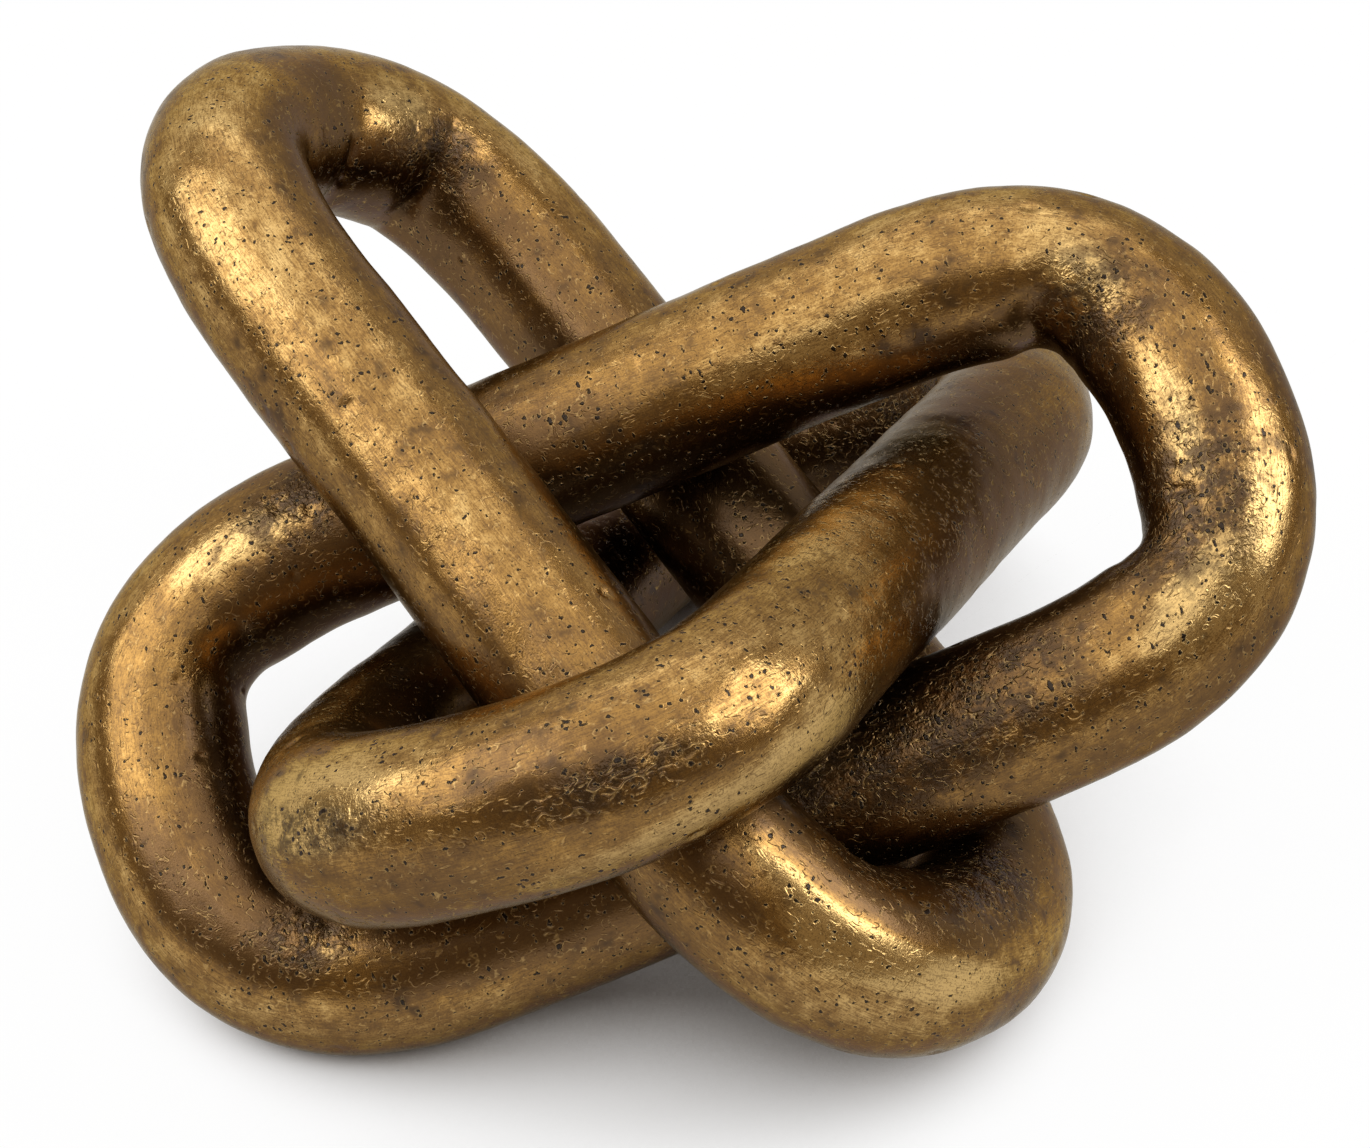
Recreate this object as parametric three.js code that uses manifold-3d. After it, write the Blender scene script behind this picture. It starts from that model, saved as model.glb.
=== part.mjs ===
// Chain link sculpture: three closed oval links, each passing round the next, standing on three feet.
// Millimetres, +Z up, the floor at z = 0, the middle of the footprint at the origin.
// The front link faces -Y; the raised link climbs to the left and back; the cross link comes
// forward through the front link's opening.
import * as THREE from 'three';
import { mergeVertices } from 'three/addons/utils/BufferGeometryUtils.js';
import Module from 'manifold-3d';

// Driving sizes of one link
const tubeDiameter = 34;         // round section of the cast bar
const openingWidth = 49.5;       // clear width between a link's two arms
const openingLength = 171.4;     // clear length between a link's two ends
const straightLength = 112.6;    // straight run of each arm
const endSquareness = 2.4;       // 2 bends the ends to an ellipse, more makes them squarer
const crookDepth = 3;            // how far the inner side is hollowed at each corner of a bend
const crookWidth = 10;           // distance along the bar over which that hollow fades

// How the three links lie on each other
const contactGap = 0.4;          // clearance where one link rests on another
const footFlatDepth = 0.5;       // ground off each foot so that the set doesn't rock
const frontLinkPitch = -1.3;     // degrees steeper than the common slope of the long axes
const raisedLinkPitch = 2.6;     // degrees, the same for the raised link
const crossLinkPitch = -2.9;     // degrees, the same for the cross link
const frontLinkRoll = -0.3;      // degrees more than the common roll about the long axis
const crossLinkRoll = 0.8;       // degrees, the same for the cross link
const raisedLinkTurn = -3;       // degrees about the upright from an even third of a turn
const frontLinkShift = 0.1;      // share of its free travel that the front link has moved up
const facing = 12.6;             // degrees about the upright that bring the front link square to -Y

// Facets
const ringsRound = 92;           // sections along one link
const sidesRound = 20;           // corners of one section
const measuringPoints = 240;     // sections of a link between which gaps are measured
const measuringError = 0.1;      // how far a gap between such sections may be off

const tubeRadius = tubeDiameter / 2;
const halfWidth = openingWidth / 2 + tubeRadius;      // from the middle to an arm's centreline
const halfLength = openingLength / 2 + tubeRadius;    // from the middle to an end's centreline
const halfStraight = straightLength / 2;
const endPower = 2 / endSquareness;

// One bent end: half of a squarish ellipse from arm to arm. Side is 1 or -1.
class BentEnd extends THREE.Curve {
  constructor(side) {
    super();
    this.side = side;
  }

  getPoint(t, target = new THREE.Vector3()) {
    const angle = (t - 0.5) * Math.PI;
    const outward = Math.abs(Math.cos(angle)) ** endPower;
    const across = Math.sign(angle) * Math.abs(Math.sin(angle)) ** endPower;
    const x = halfStraight + (halfLength - halfStraight) * outward;
    return target.set(this.side * x, this.side * across * halfWidth, 0);
  }
}

// The closed centreline of a link: two straight arms joined by two bent ends
function linkCentreline() {
  const corner = (x, y) => new THREE.Vector3(x * halfStraight, y * halfWidth, 0);
  const path = new THREE.CurvePath();
  path.add(new BentEnd(1));
  path.add(new THREE.LineCurve3(corner(1, 1), corner(-1, 1)));
  path.add(new BentEnd(-1));
  path.add(new THREE.LineCurve3(corner(-1, -1), corner(1, -1)));
  return path;
}

// The tight inner corners of a bend: the bar is hollowed on its inner side near the middle of each
// quarter turn, as if the arm and the end met at an angle there.
const quarterTurn = Math.SQRT1_2 ** endPower;
const crook = new THREE.Vector2(
  halfStraight + (halfLength - halfStraight) * quarterTurn, halfWidth * quarterTurn);

function crookHollow(centre) {
  const away = Math.hypot(Math.abs(centre.x) - crook.x, Math.abs(centre.y) - crook.y);
  return crookDepth * Math.exp(-((away / crookWidth) ** 2));
}

// How far a section's side lies from the centreline. Inwardness is the cosine of the angle between
// that side and the middle of the link.
function sectionRadius(hollow, inwardness) {
  return tubeRadius - hollow * Math.max(0, inwardness) ** 2;
}

// Round sections set square to the centreline and skinned into one closed ring
function linkSkin(path) {
  const normal = new THREE.Vector3(0, 0, 1);
  const positions = [];
  const faces = [];
  for (let ring = 0; ring < ringsRound; ring++) {
    const centre = path.getPointAt(ring / ringsRound);
    const outward = path.getTangentAt(ring / ringsRound).cross(normal);
    const hollow = crookHollow(centre);
    for (let side = 0; side < sidesRound; side++) {
      const angle = (2 * Math.PI * side) / sidesRound;
      const radius = sectionRadius(hollow, -Math.cos(angle));
      const corner = centre.clone()
        .addScaledVector(outward, radius * Math.cos(angle))
        .addScaledVector(normal, radius * Math.sin(angle));
      positions.push(corner.x, corner.y, corner.z);
      const a = ring * sidesRound + side;
      const b = ring * sidesRound + (side + 1) % sidesRound;
      const next = ((ring + 1) % ringsRound) * sidesRound;
      const c = next + (side + 1) % sidesRound;
      const d = next + side;
      faces.push(a, c, b, a, d, c);
    }
  }
  const skin = new THREE.BufferGeometry();
  skin.setAttribute('position', new THREE.Float32BufferAttribute(positions, 3));
  skin.setIndex(faces);
  return skin;
}

// A link's place: its long axis slopes up by pitch, the plane of the link rolls about that axis,
// the whole turns about the upright, and the link is slid along its own long axis.
function placeLink(link, sag) {
  const upright = { pitch: Math.atan(Math.SQRT1_2), roll: Math.PI / 4 };
  const turn = THREE.MathUtils.degToRad(link.third * 120 + link.turn);
  const pitch = upright.pitch - sag + THREE.MathUtils.degToRad(link.pitch);
  const roll = upright.roll - sag + THREE.MathUtils.degToRad(link.roll);
  const rotation = new THREE.Matrix4().makeRotationZ(turn)
    .multiply(new THREE.Matrix4().makeRotationY(-pitch))
    .multiply(new THREE.Matrix4().makeRotationX(roll));
  return rotation.multiply(new THREE.Matrix4().makeTranslation(link.slide, 0, 0));
}

// The sections of a placed link: where each is, which way its inner side faces, how hollow it is
function placedSections(place) {
  return sections.map(({ centre, inward, hollow }) => ({
    centre: centre.clone().applyMatrix4(place),
    inward: inward.clone().transformDirection(place),
    hollow,
  }));
}

// Least gap between the skins of two placed links
function leastGap(placeA, placeB) {
  const sectionsB = placedSections(placeB);
  const between = new THREE.Vector3();
  let least = Infinity;
  for (const a of placedSections(placeA)) {
    for (const b of sectionsB) {
      const distance = between.subVectors(b.centre, a.centre).length();
      if (distance - tubeDiameter >= least) continue;
      const radiusA = sectionRadius(a.hollow, between.dot(a.inward) / distance);
      const radiusB = sectionRadius(b.hollow, -between.dot(b.inward) / distance);
      least = Math.min(least, distance - radiusA - radiusB);
    }
  }
  return least;
}

// The value between clear and blocked at which a clearance test starts to fail
function contactValue(clear, blocked, isClear) {
  let low = clear;
  let high = blocked;
  for (let step = 0; step < 24; step++) {
    const middle = (low + high) / 2;
    if (isClear(middle)) low = middle;
    else high = middle;
  }
  return low;
}

const centreline = linkCentreline();
const sections = Array.from({ length: measuringPoints }, (_, index) => {
  const centre = centreline.getPointAt(index / measuringPoints);
  const inward = new THREE.Vector3(0, 0, 1).cross(centreline.getTangentAt(index / measuringPoints));
  return { centre, inward, hollow: crookHollow(centre) };
});

const front = {
  name: 'front_link', third: 0, turn: 0, pitch: frontLinkPitch, roll: frontLinkRoll, slide: 0,
};
const raised = {
  name: 'raised_link', third: 1, turn: raisedLinkTurn, pitch: raisedLinkPitch, roll: 0, slide: 0,
};
const cross = {
  name: 'cross_link', third: 2, turn: 0, pitch: crossLinkPitch, roll: crossLinkRoll, slide: 0,
};
const links = [front, raised, cross];
const clearOf = (one, other, sag, least = contactGap) =>
  leastGap(placeLink(one, sag), placeLink(other, sag)) >= least;

// Standing like a cube on its corner the links clear each other all round. They sag from there,
// sloping less and rolling flatter, until the raised link's arms rest on the front link's.
const sag = contactValue(0, Math.PI / 4, (angle) => clearOf(front, raised, angle));
// The cross link then turns about the upright until it lies against one of the other two.
cross.turn = contactValue(0, -30, (turn) =>
  clearOf({ ...cross, turn }, raised, sag) && clearOf({ ...cross, turn }, front, sag));

// Free travel of a link along its own long axis, up and down, before an end meets its neighbour
function freeTravel(link) {
  const others = links.filter((other) => other !== link);
  const canSlide = (slide) =>
    others.every((other) => clearOf({ ...link, slide }, other, sag, contactGap - measuringError));
  return {
    up: contactValue(0, halfLength, canSlide),
    down: contactValue(0, -halfLength, canSlide),
  };
}
front.slide = frontLinkShift * freeTravel(front).up;
// The raised link is pushed up until the crook of its lower end holds the front link's lower arm.
raised.slide = freeTravel(raised).up;
// The cross link slides down until the crook of its raised end hangs on the raised link.
cross.slide = freeTravel(cross).down;

// The floor touches the lowest point of each link: find its upward normal and its height
function findFloor(places) {
  const loops = places.map((place) => placedSections(place).map(({ centre }) => centre));
  const up = new THREE.Vector3(0, 0, 1);
  let feet = [];
  for (let pass = 0; pass < 12; pass++) {
    feet = loops.map((loop) => loop.reduce((low, point) => (point.dot(up) < low.dot(up) ? point : low)));
    const plane = new THREE.Plane().setFromCoplanarPoints(...feet);
    up.copy(plane.normal).multiplyScalar(Math.sign(plane.normal.z));
  }
  return { up, height: feet[0].dot(up) - tubeRadius + footFlatDepth };
}

const places = links.map((link) => placeLink(link, sag));
const floor = findFloor(places);
const toFloor = new THREE.Matrix4().makeRotationFromQuaternion(
  new THREE.Quaternion().setFromUnitVectors(floor.up, new THREE.Vector3(0, 0, 1)));
toFloor.premultiply(new THREE.Matrix4().makeTranslation(0, 0, -floor.height));
toFloor.premultiply(new THREE.Matrix4().makeRotationZ(THREE.MathUtils.degToRad(facing)));

// Booleans
const manifold = await Module();
manifold.setup();

function toSolid(geometry) {
  const bare = geometry.clone();
  bare.deleteAttribute('normal');
  bare.deleteAttribute('uv');
  const merged = mergeVertices(bare);
  return new manifold.Manifold(new manifold.Mesh({
    numProp: 3,
    vertProperties: new Float32Array(merged.attributes.position.array),
    triVerts: new Uint32Array(merged.index.array),
  }));
}

function toGeometry(solid) {
  const mesh = solid.getMesh();
  const geometry = new THREE.BufferGeometry();
  geometry.setAttribute('position', new THREE.Float32BufferAttribute(mesh.vertProperties, 3));
  geometry.setIndex(Array.from(mesh.triVerts));
  geometry.computeVertexNormals();
  return geometry;
}

// Everything below the floor, seen from a placed link
function belowFloor(place) {
  const side = 4 * (halfLength + tubeRadius);
  const block = new THREE.BoxGeometry(side, side, side).translate(0, 0, -side / 2);
  return block.applyMatrix4(place.clone().invert());
}

const sculpture = new THREE.Group();
const antiqueBrass = { color: 0x8f6b35, roughness: 0.42, metalness: 1 };
const skin = toSolid(linkSkin(centreline));
links.forEach((link, index) => {
  const place = toFloor.clone().multiply(places[index]);
  const solid = skin.subtract(toSolid(belowFloor(place)));
  const mesh = new THREE.Mesh(toGeometry(solid), new THREE.MeshStandardMaterial(antiqueBrass));
  mesh.name = link.name;
  mesh.applyMatrix4(place);
  sculpture.add(mesh);
});

// Centre the footprint on the origin
const box = new THREE.Box3().setFromObject(sculpture, true);
sculpture.position.set(-(box.min.x + box.max.x) / 2, -(box.min.y + box.max.y) / 2, 0);

export default sculpture;
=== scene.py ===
# %% [markdown]
# # Chain link sculpture
#
# A table ornament of three closed oval links. Each link is cast in metal in one piece, and the
# three are threaded through each other, so that they hang together without a joint. They stand
# on the low bends of all three. The finish is antique brass: a warm golden metal with a brown
# patina that has been rubbed back where a cloth reaches.
#
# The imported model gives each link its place. This script dresses it: the camera and the studio
# first, then the fine surface of one link, then the finish, and last the three links themselves.

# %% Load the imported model
import math
import random

import bpy
import numpy as np
from mathutils import Matrix, Vector, noise


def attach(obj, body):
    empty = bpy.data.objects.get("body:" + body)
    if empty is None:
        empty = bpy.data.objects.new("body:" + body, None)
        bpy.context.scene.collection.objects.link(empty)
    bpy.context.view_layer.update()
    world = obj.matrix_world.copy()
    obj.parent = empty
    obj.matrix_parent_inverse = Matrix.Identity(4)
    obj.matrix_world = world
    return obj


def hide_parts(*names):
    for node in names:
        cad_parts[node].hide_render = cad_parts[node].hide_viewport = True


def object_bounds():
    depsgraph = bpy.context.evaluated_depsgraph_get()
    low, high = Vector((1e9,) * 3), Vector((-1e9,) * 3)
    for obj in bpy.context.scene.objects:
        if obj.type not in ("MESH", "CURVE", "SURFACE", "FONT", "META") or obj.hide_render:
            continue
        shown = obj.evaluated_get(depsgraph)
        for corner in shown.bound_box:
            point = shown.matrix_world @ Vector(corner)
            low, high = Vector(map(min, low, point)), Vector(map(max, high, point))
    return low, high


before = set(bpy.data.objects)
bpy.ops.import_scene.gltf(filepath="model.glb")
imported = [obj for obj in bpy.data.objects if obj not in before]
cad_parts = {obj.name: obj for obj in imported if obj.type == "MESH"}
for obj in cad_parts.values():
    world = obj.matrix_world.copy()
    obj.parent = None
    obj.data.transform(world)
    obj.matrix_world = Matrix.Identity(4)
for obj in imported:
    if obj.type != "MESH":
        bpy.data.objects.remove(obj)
cad_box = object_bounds()
mm = 0.001
print("CAD box in mm:", [[round(value / mm, 1) for value in corner] for corner in cad_box])

# %% [markdown]
# ## Camera
#
# The sculpture is seen from the front and from well above. A camera can be placed by eye, or from
# the picture itself: the outlines of three round bars of known size fix where it stood and how
# far it zoomed. That second way was used here, and gives a long lens about 73 cm away.

# %% Camera
picture_width = 1370
focal_length_in_pixels = 3597
camera_place = Vector((1.4, -525.9, 487.0)) * mm
camera_turn = (51.03, 1.21, -0.81)   # degrees about X, Y and Z

camera_data = bpy.data.cameras.new("camera")
camera_data.sensor_width = 36
camera_data.lens = focal_length_in_pixels / picture_width * camera_data.sensor_width
camera_data.clip_start = 0.01
camera = bpy.data.objects.new("camera", camera_data)
camera.location = camera_place
camera.rotation_euler = [math.radians(angle) for angle in camera_turn]
bpy.context.scene.collection.objects.link(camera)
bpy.context.scene.camera = camera
bpy.context.scene.view_settings.view_transform = "Standard"
print(f"Lens {camera_data.lens:.1f} mm")

# %% [markdown]
# ## Nodes and colours
#
# Every material below is a small tree of nodes. One function adds a node, sets what is fixed on
# it and links what comes from another node. Colours are written as sRGB hex values, the way a
# paint program shows them, and one function turns them into the linear values that light uses.


# %% Helpers for materials
def linear(hex_colour):
    channels = [int(hex_colour[start:start + 2], 16) / 255 for start in (1, 3, 5)]
    straight = [c / 12.92 if c <= 0.04045 else ((c + 0.055) / 1.055) ** 2.4 for c in channels]
    return (*straight, 1.0)


def add_node(tree, kind, inputs=None, **settings):
    node = tree.nodes.new(kind)
    for name, value in settings.items():
        setattr(node, name, value)
    for name, value in (inputs or {}).items():
        if isinstance(value, bpy.types.NodeSocket):
            tree.links.new(value, node.inputs[name])
        else:
            node.inputs[name].default_value = value
    return node


def new_material(name):
    material = bpy.data.materials.new(name)
    material.use_nodes = True
    material.node_tree.nodes.clear()
    return material


# %% [markdown]
# ## Floor and card
#
# Metal shows what stands around it, so the studio matters as much as the finish. The ornament
# stands on a wide floor of white paper. Behind it a white card curves up from the floor, as a
# photographer's sweep does. The metal mirrors the card, but the camera looks through it and light
# passes it. A view from behind or from low down then shows white paper, and not the back of a
# card or the shadow that it would throw.

# %% White paper floor and the card behind
floor_half_width = 6.0
card_half_width = 2.0
card_place = 1.0            # how far behind the ornament it stands, in metres
card_bend_radius = 0.35
card_height = 1.5
card_lift = 0.5 * mm        # keeps the foot of the card from lying in the plane of the floor
bend_steps = 12


def stage_sheet(name, corners, faces):
    """A sheet of the studio, which isn't part of the ornament"""
    mesh = bpy.data.meshes.new(name)
    mesh.from_pydata(corners, [], faces)
    mesh.shade_smooth()
    sheet = bpy.data.objects.new(name, mesh)
    bpy.context.scene.collection.objects.link(sheet)
    return sheet


floor_corners = [(x * floor_half_width, y * floor_half_width, 0)
                 for x, y in ((-1, -1), (1, -1), (1, 1), (-1, 1))]
paper_floor = stage_sheet("paper_floor", floor_corners, [(0, 1, 2, 3)])

card_profile = []
for step in range(bend_steps + 1):
    angle = math.pi / 2 * step / bend_steps
    card_profile.append((
        card_place - card_bend_radius + card_bend_radius * math.sin(angle),
        card_bend_radius - card_bend_radius * math.cos(angle) + card_lift,
    ))
card_profile.append((card_place, card_height))
card_corners = [(x, y, z) for y, z in card_profile for x in (-card_half_width, card_half_width)]
card_faces = [(2 * i, 2 * i + 1, 2 * i + 3, 2 * i + 2) for i in range(len(card_profile) - 1)]
back_card = stage_sheet("back_card", card_corners, card_faces)
back_card.visible_camera = False    # the metal mirrors it, and a view from behind looks past it
back_card.visible_shadow = False    # the floor behind it stays as light as the floor in front
print(f"Paper floor {2 * floor_half_width:.0f} m wide, card {card_height:.1f} m high")

# %% [markdown]
# ## White paper
#
# Such pictures are lit until the paper turns pure white and only the shadow under the object is
# left. Here the paper glows white for the camera and in the mirror of the metal, and stays matt
# paper for all other rays. How far a spot glows depends on how much open sky it sees. Close to
# the links it sees little, so it stays matt there and keeps its shadow.
#
# Two settings are matched to the picture. Paper closed in among the links is painted a warm brown,
# a painted shadow for the light that reaches it only by way of the metal. And the metal mirrors
# the paper dimmer on the right, as it would if a grey card lay there.

# %% Material of the paper
paper_white = linear("#e6e5e5")
# painted warm shadow on the paper closed in among the links
painted_shade_among_links = linear("#5c4c3a")
contact_shadow_reach = 220 * mm
open_above = (0.18, 0.60)           # share of open sky where the paper starts and ends turning white
most_glow = 0.95                    # the rest is matt paper, also out in the open
closed_in = (0.04, 0.22)            # share of open sky where paper is all brown, and plain again
mirrored_white = (1.0, 0.80)        # brightness of the paper as the metal mirrors it, left and right
mirrored_change = (0.05, 0.35)      # from where to where along X it changes, in metres

paper_material = new_material("matt_white_paper")
tree = paper_material.node_tree
rays = add_node(tree, "ShaderNodeLightPath")
seen = add_node(tree, "ShaderNodeMath", {
    0: rays.outputs["Is Camera Ray"], 1: rays.outputs["Is Glossy Ray"]}, operation="MAXIMUM")
seen = add_node(tree, "ShaderNodeMath", {
    0: seen.outputs[0], 1: rays.outputs["Is Transmission Ray"]}, operation="MAXIMUM")
sky = add_node(tree, "ShaderNodeAmbientOcclusion", {"Distance": contact_shadow_reach})
clear = add_node(tree, "ShaderNodeMapRange", {
    "Value": sky.outputs["AO"], "From Min": open_above[0], "From Max": open_above[1],
    "To Max": most_glow})
white = add_node(tree, "ShaderNodeMath", {
    0: seen.outputs[0], 1: clear.outputs[0]}, operation="MULTIPLY")
# painted shadow: the paper turns brown where little open sky reaches it
painted_contact_shade = add_node(tree, "ShaderNodeMapRange", {
    "Value": sky.outputs["AO"], "From Min": closed_in[0], "From Max": closed_in[1]})
shaded = add_node(tree, "ShaderNodeMix", {
    0: painted_contact_shade.outputs[0], 6: painted_shade_among_links, 7: paper_white}, data_type="RGBA")
matt = add_node(tree, "ShaderNodeBsdfDiffuse", {"Color": shaded.outputs[2]})
spot = add_node(tree, "ShaderNodeNewGeometry")
across = add_node(tree, "ShaderNodeSeparateXYZ", {"Vector": spot.outputs["Position"]})
mirrored = add_node(tree, "ShaderNodeMapRange", {
    "Value": across.outputs["X"], "From Min": mirrored_change[0], "From Max": mirrored_change[1],
    "To Min": mirrored_white[0], "To Max": mirrored_white[1]})
level = add_node(tree, "ShaderNodeMapRange", {
    "Value": rays.outputs["Is Glossy Ray"], "To Min": 1.0, "To Max": mirrored.outputs[0]})
glow = add_node(tree, "ShaderNodeEmission", {
    "Color": linear("#ffffff"), "Strength": level.outputs[0]})
both = add_node(tree, "ShaderNodeMixShader", {
    0: white.outputs[0], 1: matt.outputs[0], 2: glow.outputs[0]})
add_node(tree, "ShaderNodeOutputMaterial", {"Surface": both.outputs[0]})
paper_floor.data.materials.append(paper_material)
back_card.data.materials.append(paper_material)
print(f"Paper turns white between {open_above[0]:.0%} and {open_above[1]:.0%} of open sky")

# %% [markdown]
# ## Light
#
# Two softboxes hang to the left and right and draw the two pale bands along the bars. A weaker,
# longer one hangs overhead and lights the crests. The room stays dim and warm, which leaves the
# dark bands between. A softbox is placed by its direction from the ornament. Its strength is
# given as brightness, where white paper in this light is 1.

# %% Softboxes and the dim room
cool_white = linear("#f7fbff")
warm_room = linear("#ffe6c4")
room_brightness = 0.29


def softbox(name, azimuth, elevation, distance, width, height, brightness):
    """azimuth in degrees from +Y towards +X, elevation in degrees above the floor, sizes in m"""
    lamp = bpy.data.lights.new(name, "AREA")
    lamp.shape = "RECTANGLE"
    lamp.size = width
    lamp.size_y = height
    lamp.energy = brightness * math.pi * width * height
    lamp.color = cool_white[:3]
    turn, rise = math.radians(azimuth), math.radians(elevation)
    direction = Vector((math.sin(turn) * math.cos(rise), math.cos(turn) * math.cos(rise),
                        math.sin(rise)))
    aim = Vector((0, 0, cad_box[1][2] / 2))
    holder = bpy.data.objects.new(name, lamp)
    holder.location = aim + direction * distance
    holder.rotation_euler = direction.to_track_quat("Z", "Y").to_euler()
    bpy.context.scene.collection.objects.link(holder)
    print(f"{name}: {lamp.energy:.1f} W from {distance} m away")


softbox("left_softbox", -98, 43, 1.1, 0.95, 0.85, 2.9)
softbox("right_softbox", 95, 38, 1.1, 0.64, 0.85, 4.2)
softbox("overhead_softbox", 0, 88, 1.15, 1.1, 2.7, 1.45)

world = bpy.data.worlds.new("dim_room")
world.use_nodes = True
background = world.node_tree.nodes["Background"]
background.inputs["Color"].default_value = warm_room
background.inputs["Strength"].default_value = room_brightness
bpy.context.scene.world = world

# %% [markdown]
# ## Where each link lies
#
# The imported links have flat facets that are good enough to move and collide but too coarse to
# look at. Each gets a fine skin of its own in the same place. A link is the same shape on both
# sides of three planes, so its place can be read from the solid itself: the middle of its surface
# is its centre, the direction in which the surface spreads furthest is its long axis, and the
# direction in which it spreads least points straight through its opening.


# %% Read a link's place and size
def link_place(node):
    """Matrix of the link: x along it, y from arm to arm, z through its opening"""
    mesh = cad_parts[node].data
    mesh.calc_loop_triangles()
    points = np.array([vertex.co for vertex in mesh.vertices])
    corners = points[np.array([triangle.vertices for triangle in mesh.loop_triangles])]
    edges = corners[:, 1:] - corners[:, :1]
    areas = np.linalg.norm(np.cross(edges[:, 0], edges[:, 1]), axis=1) / 2
    middles = corners.mean(axis=1)
    centre = np.average(middles, axis=0, weights=areas)
    spread = ((middles - centre) * areas[:, None]).T @ (middles - centre)
    directions = np.linalg.eigh(spread)[1].T
    lengthwise = directions[2] * np.sign(directions[2][2])
    through = directions[0] * np.sign(directions[0][2])
    crosswise = np.cross(through, lengthwise)
    axes = np.array([lengthwise, crosswise, through]).T
    place = Matrix([[*row, middle] for row, middle in zip(axes, centre)] + [[0, 0, 0, 1]])
    return place, ((points - centre) @ axes).max(axis=0)


link_names = ["front_link", "raised_link", "cross_link"]
link_places = {}
for name in link_names:
    link_places[name], half_sizes = link_place(name)    # the sizes are the same for all three
    print(name, "long axis", [round(value, 3) for value in link_places[name].col[0][:3]],
          "half sizes in mm", [round(value / mm, 2) for value in half_sizes])

# %% [markdown]
# ## The line through the middle of the bar
#
# A link is a round bar bent into a long loop: two straight arms, and at each end a bend that is
# squarer than a half circle. A superellipse gives that bend with one number: 2 is an ellipse, and
# more pushes it out into the corners. Its curve is straight where it meets the arms, so the join
# doesn't show. The line is then cut into steps of equal length.

# %% Centreline of a link
bar_radius = half_sizes[2]
half_width = half_sizes[1] - bar_radius
half_length = half_sizes[0] - bar_radius
half_straight = 0.0563
end_squareness = 2.4
points_on_quarter = 400


def link_centreline(steps):
    """Points on the loop in metres, the outward direction at each, and the loop's length"""
    angles = np.linspace(0, math.pi / 2, points_on_quarter)
    bend = np.stack([
        half_straight + (half_length - half_straight) * np.cos(angles) ** (2 / end_squareness),
        half_width * np.sin(angles) ** (2 / end_squareness),
    ], axis=1)
    quarter = np.vstack([bend, [[0, half_width]]])
    loop = np.vstack([
        quarter,
        quarter[::-1][1:] * [-1, 1],
        quarter[1:] * [-1, -1],
        quarter[::-1][1:] * [1, -1],
    ])
    run = np.concatenate([[0], np.cumsum(np.linalg.norm(np.diff(loop, axis=0), axis=1))])
    stations = np.linspace(0, run[-1], steps, endpoint=False)
    points = np.stack([np.interp(stations, run, loop[:, axis]) for axis in (0, 1)], axis=1)
    ahead = np.roll(points, -2, axis=0) - np.roll(points, 2, axis=0)
    ahead /= np.linalg.norm(ahead, axis=1)[:, None]
    outward = np.stack([ahead[:, 1], -ahead[:, 0]], axis=1)
    return points, outward, run[-1]


loop_length = link_centreline(8)[2]
print(f"One link is {loop_length / mm:.0f} mm of {2 * bar_radius / mm:.0f} mm bar")

# %% [markdown]
# ## The skin of the bar
#
# The skin is a grid: rings across the bar, and sides round each ring, less than 0.8 mm apart. That
# is fine enough for real hollows and bumps of a few millimetres, which then also show in the outline
# and in the shape that is kept. Everything smaller is left to the material.
#
# Places on a link are given in two numbers: the share of the way round the loop, from its high
# tip, and the degrees round the bar. There 0 is the outside of the loop, 90 the upper face and
# 180 the inside.

# %% A grid round the bar
grid_rings = 660
grid_sides = 148


def grid_faces(rings, sides):
    ring, side = np.meshgrid(np.arange(rings), np.arange(sides), indexing="ij")
    next_ring, next_side = (ring + 1) % rings, (side + 1) % sides
    corners = [ring * sides + side, ring * sides + next_side,
               next_ring * sides + next_side, next_ring * sides + side]
    return np.stack(corners, axis=-1).reshape(-1, 4)


def bar_skin(rings, sides, radius):
    """Points of the grid and their outward directions in the link's own axes"""
    points, outward, _ = link_centreline(rings)
    angles = np.arange(sides) * 2 * math.pi / sides
    normals = np.zeros((rings, sides, 3))
    normals[:, :, :2] = outward[:, None, :] * np.cos(angles)[None, :, None]
    normals[:, :, 2] = np.sin(angles)[None, :]
    centres = np.zeros((rings, 1, 3))
    centres[:, 0, :2] = points
    return centres + normals * np.broadcast_to(radius, (rings, sides))[:, :, None], normals


def offsets_from(share, degrees):
    """How far each skin point lies from a place, in metres along the bar and round it"""
    ring, side = np.meshgrid(np.arange(grid_rings), np.arange(grid_sides), indexing="ij")
    along_bar = ((ring / grid_rings - share + 0.5) % 1 - 0.5) * loop_length
    round_bar = ((side / grid_sides - degrees / 360 + 0.5) % 1 - 0.5) * 2 * math.pi * bar_radius
    return along_bar, round_bar


def oval(share, degrees, half_length, half_width):
    """How far out each skin point lies in an oval laid on the bar, where 1 is its edge"""
    along_bar, round_bar = offsets_from(share, degrees)
    return np.hypot(along_bar / (half_length * mm), round_bar / (half_width * mm))


print(f"Skin of {grid_rings} x {grid_sides} points, {loop_length / grid_rings / mm:.2f} mm apart")

# %% [markdown]
# ## Places that a cloth can't reach, and painted shade
#
# The patina is rubbed back by hand after it is brushed on, and stays dark where the cloth doesn't
# get in: inside the bends. The same number also darkens the metal where the links lie close
# together, and there it is painted shade. Each point of a skin gets a number for this, by adding
# up how much of its view is filled by bar nearby. It is worked out on a coarse grid and spread
# over the fine one.

# %% How sheltered each point is
coarse_rings = 132
coarse_sides = 24
own_bar_skipped = 2.4 * bar_radius


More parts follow.
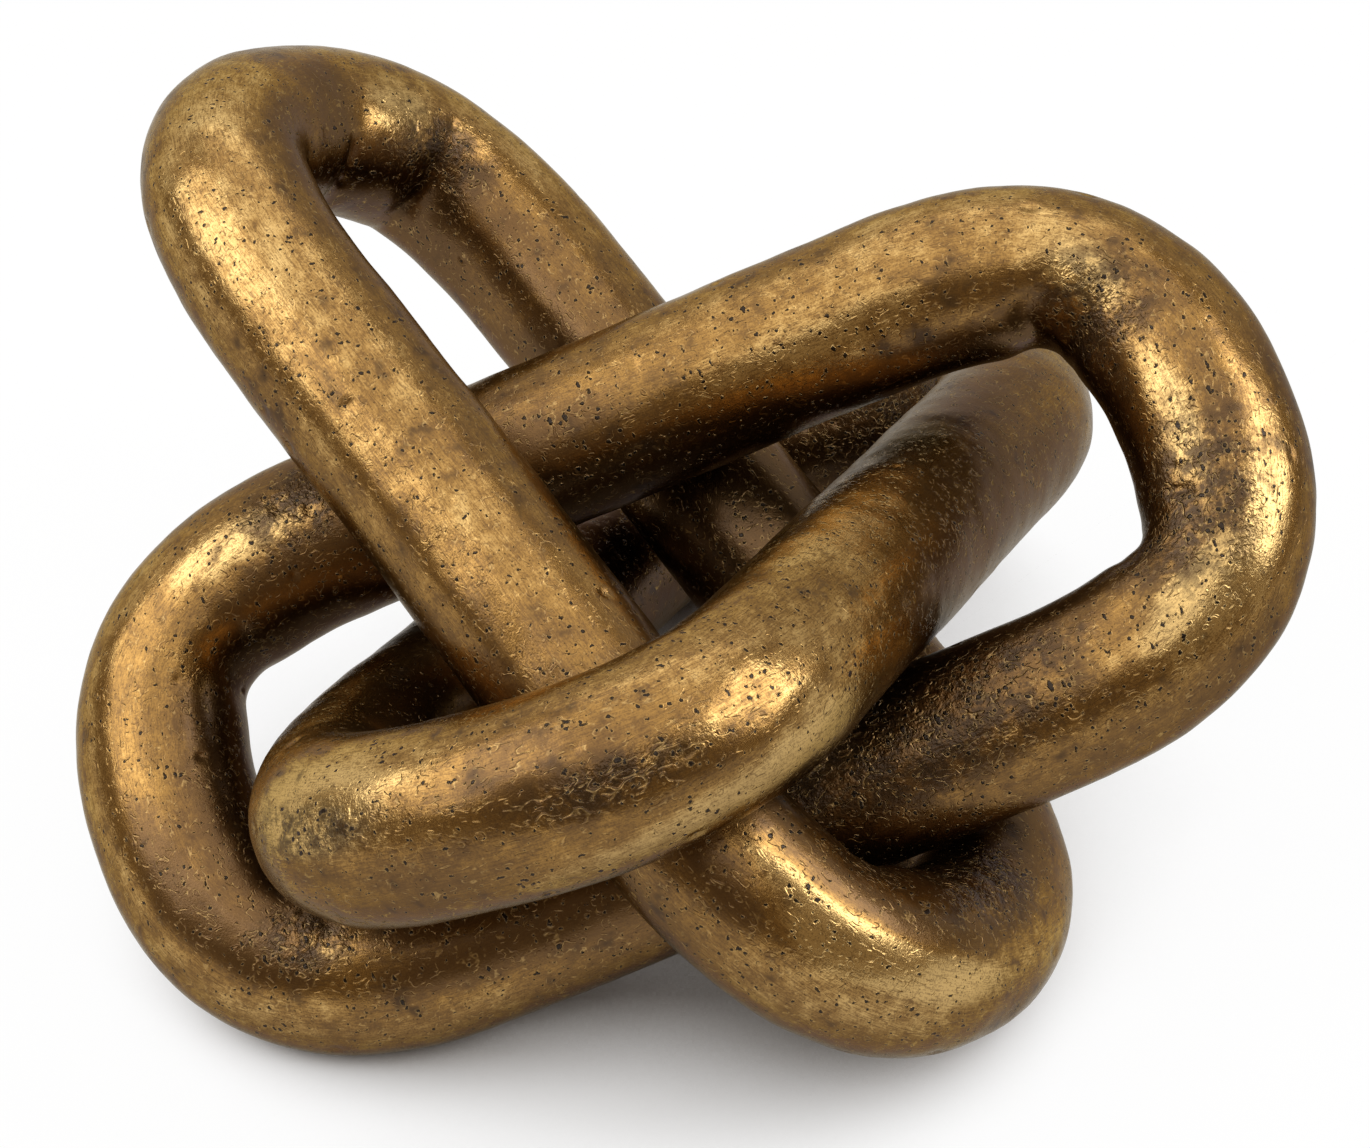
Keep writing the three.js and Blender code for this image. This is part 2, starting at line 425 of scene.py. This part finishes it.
def sheltered(name):
    """Share of the view from each coarse grid point that other lengths of bar fill"""
    points, normals = bar_skin(coarse_rings, coarse_sides, bar_radius)
    points, normals = points.reshape(-1, 3), normals.reshape(-1, 3)
    filled = np.zeros(len(points))
    for other in link_names:
        line = np.zeros((coarse_rings, 3))
        line[:, :2] = link_centreline(coarse_rings)[0]
        move = np.array(link_places[name].inverted() @ link_places[other])
        line = line @ move[:3, :3].T + move[:3, 3]
        away = line[None, :, :] - points[:, None, :]
        distance = np.linalg.norm(away, axis=2)
        facing = np.clip((away * normals[:, None, :]).sum(axis=2) / distance, 0, 1)
        step_length = loop_length / coarse_rings
        fills = 2 * bar_radius * step_length / (math.pi * distance ** 2) * facing
        if other == name:
            fills[distance < own_bar_skipped] = 0
        filled += fills.sum(axis=1)
    return np.clip(filled, 0, 1).reshape(coarse_rings, coarse_sides)


def spread_over(coarse, rings, sides):
    """Values of a coarse closed grid, blended linearly over a finer one"""
    for axis, count in ((0, rings), (1, sides)):
        size = coarse.shape[axis]
        at = np.arange(count) * size / count
        low = np.floor(at).astype(int)
        share = at - low
        share = share[:, None] if axis == 0 else share[None, :]
        coarse = (np.take(coarse, low % size, axis=axis) * (1 - share)
                  + np.take(coarse, (low + 1) % size, axis=axis) * share)
    return coarse


# share of view filled by bar: patina in the bends, painted shade where the links lie close
shelter = {name: spread_over(sheltered(name), grid_rings, grid_sides) for name in link_names}
for name in link_names:
    print(name, f"sheltered from {shelter[name].min():.2f} to {shelter[name].max():.2f}")

# %% [markdown]
# ## Inner corners of the bends
#
# The round outside of a bend hides a tight inside: the bar is hollowed where the arm and the end
# meet, as if two round bars had been joined at an angle there and blended by hand. Each link has
# four such corners. Creases run across the inner side near them. Where several stand close
# together they read as folds, where the wax of the master was pushed together. A crease wanders
# a little from side to side, which keeps it from looking cut by a machine.

# %% Hollows and creases of the inner corners
crook_depth = 3 * mm
crook_width = 10 * mm
corner_wander = 6 * mm
wander_width = 12 * mm
crease_reach = 0.25         # how far a crease runs past the middle of the bar's side

# for each link: share of the loop, depth and half width in mm; less than zero is a ridge
creases = {
    "front_link": [(0.080, 1.0, 4.5), (0.062, -0.3, 3.0), (0.415, 0.3, 3.5), (0.585, 0.5, 3.5),
                   (0.915, 0.3, 3.0), (0.940, -0.3, 3.0)],
    "raised_link": [(0.002, 0.8, 4.0), (0.940, 0.5, 3.0), (0.423, 0.4, 2.8), (0.475, 0.5, 2.2),
                    (0.490, 0.6, 2.2), (0.506, 0.5, 2.2)],
    "cross_link": [(0.085, 0.3, 3.0), (0.415, 0.3, 3.5), (0.585, 0.3, 3.5), (0.915, 0.3, 3.0)],
}

quarter_turn = 0.5 ** (1 / end_squareness)
corner_place = np.array([half_straight + (half_length - half_straight) * quarter_turn,
                         half_width * quarter_turn])


def smooth_noise(points, width, offset):
    """Soft noise from 0 to 1 at each point; another offset gives another pattern"""
    shift = Vector((offset, 0, 0))
    values = [noise.noise(Vector(point) / width + shift) for point in points]
    return np.clip(np.array(values) * 0.7 + 0.5, 0, 1)


def distance_along(run, place):
    """Signed distance along the loop from a place, the short way round"""
    return (run - place + loop_length / 2) % loop_length - loop_length / 2


def corner_cut(name, flat_points, seed):
    """Depth taken off the inner side in the corners and creases"""
    run = (np.arange(grid_rings) * loop_length / grid_rings)[:, None]
    angles = np.arange(grid_sides) * 2 * math.pi / grid_sides
    inner = np.clip(-np.cos(angles), 0, 1)[None, :]
    crossed = np.clip(crease_reach - np.cos(angles), 0, 1)[None, :]
    wander = smooth_noise(flat_points, wander_width, offset=90 + seed) - 0.5
    wander = wander.reshape(grid_rings, grid_sides)
    points = link_centreline(grid_rings)[0]
    first = run[np.argmin(np.linalg.norm(points - corner_place, axis=1)), 0]
    depth = np.zeros((grid_rings, grid_sides))
    for corner in (first, loop_length / 2 - first, loop_length / 2 + first, loop_length - first):
        hollow = np.exp(-(distance_along(run, corner) / crook_width) ** 2)
        depth += crook_depth * hollow * inner ** 2
    for share, crease_depth, crease_width in creases[name]:
        offset = distance_along(run, share * loop_length) + corner_wander * wander
        depth += crease_depth * mm * np.exp(-(offset / (crease_width * mm)) ** 2) * crossed
    return depth


print("Corners lie", [round(value / mm, 1) for value in corner_place], "mm from the link's middle")

# %% [markdown]
# ## Hand-made unevenness
#
# The master for the casting was shaped and sanded by hand, so no bar is quite round or straight.
# Slow waves take up to half a millimetre off it, with shallow dimples and fine ripples on top,
# and broad flats run along it where the file passed. Blow holes from the casting are sunk into
# it. The many small ones lie at random, and the largest are placed one by one. A few broad swells
# and hollows are listed too, mostly in the hollowed corners, where wax was built up or
# pressed in. They bend the highlights, which is how the eye reads them.

# %% Sizes of the unevenness
skin_allowance = 0.1 * mm
wave_depth = 0.5 * mm
wave_width = 34 * mm
dimple_depth = 0.24 * mm
dimple_width = 9 * mm
ripple_depth = 0.08 * mm
ripple_width = 3.6 * mm
flats_round_bar = 5
flat_depth = 0.28 * mm
flat_length = 40 * mm
flat_drift = 6              # radians by which the flats wander round the bar
flat_drift_width = 60 * mm
blow_holes_per_link = 70
blow_hole_radius = (0.5 * mm, 1.0 * mm)
blow_hole_stretch = (1.0, 2.2)
blow_hole_depth = 0.4 * mm
links_apart_in_noise = 17.3

# the largest holes: share, degrees, radius in mm, and how many times longer than wide, with the
# length across the bar
known_holes = {
    "front_link": [(0.957, 118, 1.3, 2.4), (0.968, 122, 0.9, 1.5), (0.372, 78, 1.5, 1.2),
                   (0.362, 88, 1.0, 1.6)],
    "raised_link": [(0.1187, 26, 1.15, 1.3), (0.1909, 22.2, 0.95, 1.3), (0.004, 150, 1.2, 2.6),
                    (0.965, 128, 1.0, 1.2), (0.940, 112, 1.3, 1.1)],
    "cross_link": [(0.9907, 350.9, 0.95, 1.2), (0.0215, 46, 0.5, 2.6), (0.0150, 42, 0.55, 2.8),
                   (0.0175, 45, 0.5, 1.9), (0.0125, 41, 0.5, 1.7), (0.060, 38, 0.55, 1.5)],
}

# broad swells, and hollows below zero: share, degrees, height, half length and half width in mm
swells = {
    "front_link": [(0.055, 125, -0.7, 8, 9), (0.900, 130, 0.5, 12, 9)],
    "raised_link": [(0.972, 146, 1.3, 11, 10), (0.006, 140, -0.6, 11, 12),
                    (0.465, 140, 1.0, 9, 8)],
    "cross_link": [(0.030, 60, 0.35, 14, 8), (0.075, 20, -0.5, 10, 9)],
}


# %% Shape of the cast surface
def hole(share, degrees, radius, stretch, lean):
    """One blow hole as a depth from 0 to 1 on the whole grid"""
    along_bar, round_bar = offsets_from(share, degrees)
    u = (along_bar * math.cos(lean) + round_bar * math.sin(lean)) / (radius * stretch)
    v = (round_bar * math.cos(lean) - along_bar * math.sin(lean)) / radius
    return np.exp(-(u * u + v * v) ** 1.5)


def cast_radius(name, seed):
    """Distance of each skin point from the middle of the bar"""
    points = bar_skin(grid_rings, grid_sides, bar_radius)[0]
    flat = points.reshape(-1, 3)

    def bumps(width, offset):
        values = smooth_noise(flat, width, offset + links_apart_in_noise * seed)
        return values.reshape(grid_rings, grid_sides)

    angles = np.arange(grid_sides) * 2 * math.pi / grid_sides
    drift = bumps(flat_drift_width, offset=70)
    flats = 0.5 + 0.5 * np.cos(flats_round_bar * angles[None, :] + flat_drift * drift)
    radius = (bar_radius - skin_allowance
              - wave_depth * bumps(wave_width, offset=0)
              - dimple_depth * bumps(dimple_width, offset=40)
              - ripple_depth * bumps(ripple_width, offset=55)
              - flat_depth * flats * bumps(flat_length, offset=85)
              - corner_cut(name, flat, seed))
    chance = random.Random(seed)
    for _ in range(blow_holes_per_link):
        share, degrees = chance.random(), chance.uniform(0, 360)
        size, stretch = chance.uniform(*blow_hole_radius), chance.uniform(*blow_hole_stretch)
        lean = chance.uniform(0, math.pi)
        radius -= blow_hole_depth * hole(share, degrees, size, stretch, lean)
    for share, degrees, size, stretch in known_holes[name]:
        radius -= blow_hole_depth * size * hole(share, degrees, size * mm, stretch, math.pi / 2)
    for share, degrees, height, half_length, half_width in swells[name]:
        lie = oval(share, degrees, half_length, half_width)
        radius += height * mm * np.exp(-lie ** 2)
    return radius


# %% [markdown]
# ## Patches of the finish, and of painted shade and highlights
#
# The finish isn't even, because it was put on and taken off by hand. In a few places the cast skin
# was never sanded smooth: it stays wrinkled, holds more patina and looks almost black between
# pale threads. In others the patina was left on smooth metal, thick or as a thin veil, and these
# patches also paint shade and dark reflections onto the metal. And some crests were rubbed bright,
# and these patches also paint highlights. Each patch is an oval laid on the bar with a soft edge.

# %% Where the patches lie
# share, degrees, length along the bar and width round it in mm
rough_patches = {
    "front_link": [(0.950, 106, 42, 24), (0.052, 113, 26, 20), (0.80, 85, 62, 22),
                   (0.84, 105, 34, 18), (0.366, 84, 22, 14), (0.58, 95, 16, 12)],
    "raised_link": [(0.945, 138, 34, 16), (0.50, 105, 30, 18), (0.43, 112, 22, 14),
                    (0.64, 150, 60, 30)],
    "cross_link": [(0.965, 25, 22, 9), (0.05, 8, 20, 8), (0.45, 160, 60, 40)],
}
# patina patches, which also paint shade and dark reflections onto the metal
thick_patina_and_shade_patches = {
    "front_link": [(0.060, 156, 36, 26), (0.41, 152, 48, 26), (0.545, 80, 50, 12),
                   (0.565, 98, 18, 12), (0.665, 66, 64, 12)],
    "raised_link": [(0.018, 120, 22, 26), (0.080, 110, 50, 16), (0.935, 188, 110, 36),
                    (0.438, 74, 50, 9), (0.391, 28, 22, 12)],
    "cross_link": [(0.285, 345, 95, 34), (0.345, 104, 34, 26)],
}
thin_patina_and_shade_patches = {
    "front_link": [(0.006, 56, 46, 34), (0.455, 105, 60, 22), (0.930, 20, 90, 16)],
    "raised_link": [(0.150, 100, 120, 14), (0.855, 150, 60, 24)],
    "cross_link": [(0.040, 30, 30, 14), (0.010, 345, 76, 14)],
}
# rubbed patches, which also paint highlights
rubbed_and_highlit_patches = {
    "front_link": [(0.992, 122, 30, 14), (0.965, 58, 44, 10), (0.918, 78, 24, 12),
                   (0.190, 134, 100, 18), (0.058, 108, 16, 12), (0.384, 86, 34, 12),
                   (0.435, 127, 18, 10), (0.588, 100, 18, 14)],
    "raised_link": [(0.974, 130, 26, 18), (0.428, 44, 60, 10)],
    "cross_link": [(0.225, 74, 80, 16), (0.125, 322, 80, 12), (0.869, 116, 56, 40),
                   (0.962, 40, 24, 16)],
}
thick_patina_and_shade_level = 0.85         # how dark each kind is, where a point in full shelter is 1
thin_patina_and_shade_level = 0.35
rubbed_and_highlit_level = 0.5
edge_softness = 0.7
edge_steepness = 4


def patch_map(patches):
    """Each skin point's share in a list of patches, from 0 outside to 1 in the middle"""
    inside = np.zeros((grid_rings, grid_sides))
    for share, degrees, length, width in patches:
        lie = oval(share, degrees, length / 2, width / 2)
        inside = np.maximum(inside, np.exp(-edge_softness * lie ** edge_steepness))
    return inside


for name in link_names:
    print(name, f"rough on {patch_map(rough_patches[name]).mean():.0%} of its skin,",
          f"rubbed bright on {patch_map(rubbed_and_highlit_patches[name]).mean():.0%}")

# %% [markdown]
# ## Antique brass
#
# The finish is built up in layers. Under it is bright brass colour, which shows on the rubbed
# crests, and in some patches also paints highlights. Over that lies a brown patina in clouds one or
# two centimetres long that follow the bar, broken up by smudges, mottling, grain and brush marks,
# each finer than the last. The patina also paints shade where the links lie close, and the
# undersides are darkened to umber, a painted shade. Fine threads stand up from the metal or lie
# sunk in it. Pits as small as a pinhead hold patina and stay almost black. A thin clear lacquer
# over all of it gives the satin shine a second, softer edge.
#
# Most patterns are laid out on the bar as if it were unrolled. A flat sheet that closes on itself
# both ways has no seam in four dimensions, so each point carries four numbers: two go round the
# loop and two go round the bar.

# %% Colours and sizes of the finish
# the patina colours also paint shade, and the rubbed brass also paints highlights
rubbed_brass_and_highlight = linear("#cda96a")
aged_brass = linear("#a57b3b")
brown_patina_and_shade = linear("#5c4123")
umber_patina_and_shade = linear("#5a3e1b")
black_patina_and_shade = linear("#2a1f15")
edge_tint = linear("#b6aa8d")       # what the metal keeps of the light that grazes it

cloud_length = 13.0         # mm, as all sizes here
cloud_stretch = 1.8         # longer along the bar than across it
smudge_size = 4.5
mottle_size = 1.2
grain_size = 0.34
brush_width = 0.30
brush_stretch = 8.0
thread_spacing = 1.9
thread_stretch = 1.4
thread_piece = 1.7
pin_spacing = 1.25
pin_radius = 0.15
dot_spacing = 1.9
dot_radius = 0.34
dash_spacing = 3.3
dash_radius = 0.34
dash_stretch = 2.6
dash_turns = ((0.5, 0.3, 0.9), (1.1, -0.4, -0.6))   # radians about X, Y and Z
pit_bend_size = 0.9
pit_bend = 1.1
crowd_size = 9.0            # how far apart the crowds of pits lie

# %% Tools for the patterns
brass = new_material("antique_brass")
brass_tree = brass.node_tree


def skin_value(name, output="Fac"):
    """A value that each point of a link's skin carries"""
    node = add_node(brass_tree, "ShaderNodeAttribute", attribute_name=name)
    return node.outputs[output]


ring = skin_value("ring_place", "Vector")
side = skin_value("side_place")
place = skin_value("link_place", "Vector")
# patina in the bends, painted shade where links lie close, and the patches of both
patina_and_shade_share = skin_value("shelter")
# how far the skin faces down; the finish paints it darker there as shade
underside_shade = skin_value("underside")
rough = skin_value("rough")


def along_bar(size, stretch, detail, roughness, distortion):
    """A pattern that follows the bar round the bends"""
    stretched = add_node(brass_tree, "ShaderNodeVectorMath", {
        0: ring, 1: (1 / stretch, 1 / stretch, 1)}, operation="MULTIPLY").outputs[0]
    return add_node(brass_tree, "ShaderNodeTexNoise", {
        "Vector": stretched, "W": side, "Scale": 1 / size, "Detail": detail,
        "Roughness": roughness, "Distortion": distortion}, noise_dimensions="4D").outputs["Fac"]


def pattern(size, detail, roughness):
    """A pattern that is the same in all directions"""
    return add_node(brass_tree, "ShaderNodeTexNoise", {
        "Vector": place, "Scale": 1 / size, "Detail": detail,
        "Roughness": roughness}).outputs["Fac"]


def ranged(value, low, high, to_low=0.0, to_high=1.0):
    return add_node(brass_tree, "ShaderNodeMapRange", {
        "Value": value, "From Min": low, "From Max": high, "To Min": to_low, "To Max": to_high,
    }, interpolation_type="SMOOTHSTEP").outputs["Result"]


def maths(operation, a, b):
    return add_node(brass_tree, "ShaderNodeMath", {0: a, 1: b}, operation=operation).outputs[0]


def times(a, b):
    return maths("MULTIPLY", a, b)


def total(first, *others):
    for value in others:
        first = maths("ADD", first, value)
    return first


def about(value, share):
    """A pattern turned into a push up or down of at most half the share"""
    return times(maths("SUBTRACT", value, 0.5), share)


def line_in(value, level):
    """1 along the line where a pattern passes a level, fading to 0 beside it"""
    beside = maths("ABSOLUTE", maths("SUBTRACT", value, level), 0.0)
    return ranged(beside, 0.0, 0.035, to_low=1.0, to_high=0.0)


def blend(share, under_colour, over_colour):
    return add_node(brass_tree, "ShaderNodeMix", {
        0: share, 6: under_colour, 7: over_colour}, data_type="RGBA").outputs[2]


# %% Brushed and rubbed layers, with painted shade and highlights
clouds = along_bar(cloud_length, cloud_stretch, detail=4, roughness=0.55, distortion=0.5)
brush = along_bar(brush_width, brush_stretch, detail=1, roughness=0.5, distortion=1.2)
smudges = pattern(smudge_size, detail=2, roughness=0.5)
mottle = pattern(mottle_size, detail=2, roughness=0.6)
grain = pattern(grain_size, detail=1, roughness=0.5)
layer = total(about(clouds, 0.7), about(smudges, 0.38), about(mottle, 0.24), about(grain, 0.15),
              about(brush, 0.25))

# patina held in the bends, and painted shade where the links lie close
held_patina_and_shade = total(times(patina_and_shade_share, 0.50), times(rough, 0.16))
patina_and_shade_amount = ranged(total(layer, held_patina_and_shade), -0.20, 0.36)
# bright on open and rubbed metal; the rubbed patches also paint highlights
rubbed_and_highlit = ranged(total(layer, times(patina_and_shade_share, 0.8)), 0.12, -0.24)
stains = ranged(total(about(clouds, 0.7), smudges), 0.63, 0.80)
dark = times(rough, ranged(total(smudges, about(mottle, 0.7)), 0.34, 0.58))

# %% [markdown]
# ## Threads and pits
#
# Threads are the places where a soft pattern passes one level: such places form lines. They are
# broken into pieces by a second pattern, and there are more of them in the rough patches.
#
# Pits come from cells. Each cell has one pit in its middle, a dot or a short dash. Bending the
# cells makes the pits less round, and another pattern crowds them in some places. A pit has a low
# rim, where the metal is rubbed bright.

# %% Threads
lines = along_bar(thread_spacing, thread_stretch, detail=0, roughness=0.5, distortion=0.9)
pieces = pattern(thread_piece, detail=1, roughness=0.5)
pieces = ranged(total(pieces, times(rough, 0.08)), 0.48, 0.60)
threads = times(line_in(lines, 0.5), pieces)
grooves = times(line_in(lines, 0.44), pieces)

# %% Pits
bent = add_node(brass_tree, "ShaderNodeTexNoise", {
    "Vector": place, "Scale": 1 / pit_bend_size, "Detail": 2})
bend = add_node(brass_tree, "ShaderNodeVectorMath", {
    0: bent.outputs["Color"], 1: (0.5, 0.5, 0.5)}, operation="SUBTRACT").outputs[0]
bend = add_node(brass_tree, "ShaderNodeVectorMath", {
    0: bend, "Scale": pit_bend}, operation="SCALE").outputs[0]
bent_place = add_node(brass_tree, "ShaderNodeVectorMath", {
    0: place, 1: bend}, operation="ADD").outputs[0]
crowd = total(about(pattern(crowd_size, detail=1, roughness=0.5), 1.8), times(rough, 0.3))


def pits_of(vector, spacing, radius):
    """The pits of one kind and the rims round them"""
    cells = add_node(brass_tree, "ShaderNodeTexVoronoi", {"Vector": vector, "Scale": 1 / spacing})
    edge = times(total(crowd, 1.0), radius / spacing)
    share = maths("DIVIDE", cells.outputs["Distance"], edge)
    return ranged(share, 0.6, 1.0, to_low=1.0, to_high=0.0), ranged(share, 1.5, 1.05)


pits, rims = pits_of(bent_place, dot_spacing, dot_radius)
pins = pits_of(bent_place, pin_spacing, pin_radius)[0]
pits = maths("MAXIMUM", pits, times(pins, 0.6))
for turn in dash_turns:
    turned = add_node(brass_tree, "ShaderNodeMapping", {
        "Vector": bent_place, "Rotation": turn, "Scale": (1, 1 / dash_stretch, 1)}).outputs[0]
    dashes, dash_rims = pits_of(turned, dash_spacing, dash_radius)
    pits = maths("MAXIMUM", pits, dashes)
    rims = maths("MAXIMUM", rims, dash_rims)
rims = times(rims, maths("SUBTRACT", 1.0, pits))

# %% [markdown]
# ## Colour, shine and relief
#
# The colours are laid on in about the order that a finisher would follow: metal first, then
# patina and stains, and then what the cloth brought back. Painted shade comes with the patina, the
# umber undersides and the near-black sheltered places, and painted highlights with the rubbed
# patches. The pits come last and stay dark. Patina is duller than metal. The relief is given in
# millimetres, a quarter of one for the deepest pits.

# %% Colour of the finish
# rubbed brass, and painted highlights from the rubbed patches
colour = blend(rubbed_and_highlit, aged_brass, rubbed_brass_and_highlight)
# painted shade: the undersides darken to umber, mixed into the patina clouds
colour = blend(total(underside_shade, times(layer, 0.9)), colour, umber_patina_and_shade)
colour = blend(times(patina_and_shade_amount, 0.9), colour, brown_patina_and_shade)
colour = blend(times(stains, 0.5), colour, black_patina_and_shade)
# near-black in sheltered places: patina in the bends, painted shade where links lie close
dark_patina_and_shade = ranged(total(patina_and_shade_share, about(layer, 0.5)), 0.45, 0.95, to_high=0.7)
colour = blend(dark_patina_and_shade, colour, black_patina_and_shade)
colour = blend(times(dark, 0.75), colour, black_patina_and_shade)
colour = blend(times(threads, 0.38), colour, rubbed_brass_and_highlight)
specks = ranged(total(about(grain, 1.0), brush), 0.48, 0.66, to_high=0.40)
colour = blend(specks, colour, brown_patina_and_shade)
colour = blend(times(grooves, 0.6), colour, brown_patina_and_shade)
colour = blend(times(rims, 0.15), colour, rubbed_brass_and_highlight)
colour = blend(pits, colour, black_patina_and_shade)

# %% Shine, relief and lacquer
shine = total(ranged(patina_and_shade_amount, 0.0, 1.0, to_low=0.22, to_high=0.33), about(brush, 0.10),
              times(maths("MAXIMUM", dark, stains), 0.10))

height_in_mm = total(
    times(pits, -0.26),
    times(rims, 0.02),
    times(maths("SUBTRACT", threads, grooves), total(times(rough, 0.05), 0.024)),
    times(mottle, total(times(rough, 0.25), 0.028)),
    times(grain, 0.022),
    times(brush, 0.008))
bump = add_node(brass_tree, "ShaderNodeBump", {
    "Height": times(height_in_mm, mm), "Strength": 1.0, "Distance": 1.0})

shader = add_node(brass_tree, "ShaderNodeBsdfPrincipled", {
    "Base Color": colour, "Metallic": 1.0, "Roughness": shine, "Normal": bump.outputs[0],
    "Specular Tint": edge_tint, "Coat Weight": 0.3, "Coat Roughness": 0.22,
    "Coat Normal": bump.outputs[0],
})
add_node(brass_tree, "ShaderNodeOutputMaterial", {"Surface": shader.outputs[0]})
print("Antique brass takes", len(brass_tree.nodes), "nodes")

# %% [markdown]
# ## The three links
#
# Each skin is built in its link's own axes and then set in its place. Where it would dip under the
# floor it is cut flat, as the real feet are ground flat. The values that the finish reads are
# stored on its points. Each link takes its patterns from another part of the noise, so no two
# links are marked alike.

# %% Build a link
links_apart_in_patterns = 300       # mm
underside_from = 0.35               # the slope of the skin at which the underside starts
underside_fade = 0.8


def store(mesh, name, kind, values):
    attribute = mesh.attributes.new(name, kind, "POINT")
    field = "vector" if kind == "FLOAT_VECTOR" else "value"
    attribute.data.foreach_set(field, np.ascontiguousarray(values, np.float32).ravel())


def build_link(name, seed):
    points, normals = bar_skin(grid_rings, grid_sides, cast_radius(name, seed))
    local = points.reshape(-1, 3)
    place = np.array(link_places[name])
    world_points = local @ place[:3, :3].T + place[:3, 3]
    world_points[:, 2] = np.maximum(world_points[:, 2], 0)
    mesh = bpy.data.meshes.new(name + "_casting")
    mesh.from_pydata(world_points.tolist(), [], grid_faces(grid_rings, grid_sides).tolist())
    mesh.shade_smooth()
    slope = (normals @ place[:3, :3].T)[:, :, 2]

    ring, side = np.meshgrid(np.arange(grid_rings), np.arange(grid_sides), indexing="ij")
    round_loop = (ring * 2 * math.pi / grid_rings).ravel()
    round_bar = (side * 2 * math.pi / grid_sides).ravel()
    loop_radius = loop_length / (2 * math.pi) / mm
    bar = bar_radius / mm
    shift = links_apart_in_patterns * seed
    store(mesh, "ring_place", "FLOAT_VECTOR", np.stack([
        loop_radius * np.cos(round_loop) + shift, loop_radius * np.sin(round_loop),
        bar * np.cos(round_bar)], axis=1))
    store(mesh, "side_place", "FLOAT", bar * np.sin(round_bar))
    store(mesh, "link_place", "FLOAT_VECTOR", local / mm + [shift, 0, 0])
    # patina patches, which also paint shade, and rubbed patches, which also paint highlights
    patina_and_shade_map = np.maximum(thick_patina_and_shade_level * patch_map(thick_patina_and_shade_patches[name]),
                         thin_patina_and_shade_level * patch_map(thin_patina_and_shade_patches[name]))
    rubbed_and_highlit_map = rubbed_and_highlit_level * patch_map(rubbed_and_highlit_patches[name])
    store(mesh, "shelter", "FLOAT", np.maximum(shelter[name], patina_and_shade_map) - rubbed_and_highlit_map)
    store(mesh, "rough", "FLOAT", patch_map(rough_patches[name]))
    # the undersides, which the finish paints darker as shade
    store(mesh, "underside", "FLOAT", np.clip(underside_from - slope, 0, 1) ** underside_fade)
    mesh.materials.append(brass)
    casting = bpy.data.objects.new(name + "_casting", mesh)
    bpy.context.scene.collection.objects.link(casting)
    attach(casting, name)
    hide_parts(name)
    print(name, "skin of", len(mesh.polygons), "faces")


for seed, name in enumerate(link_names, start=1):
    build_link(name, seed)
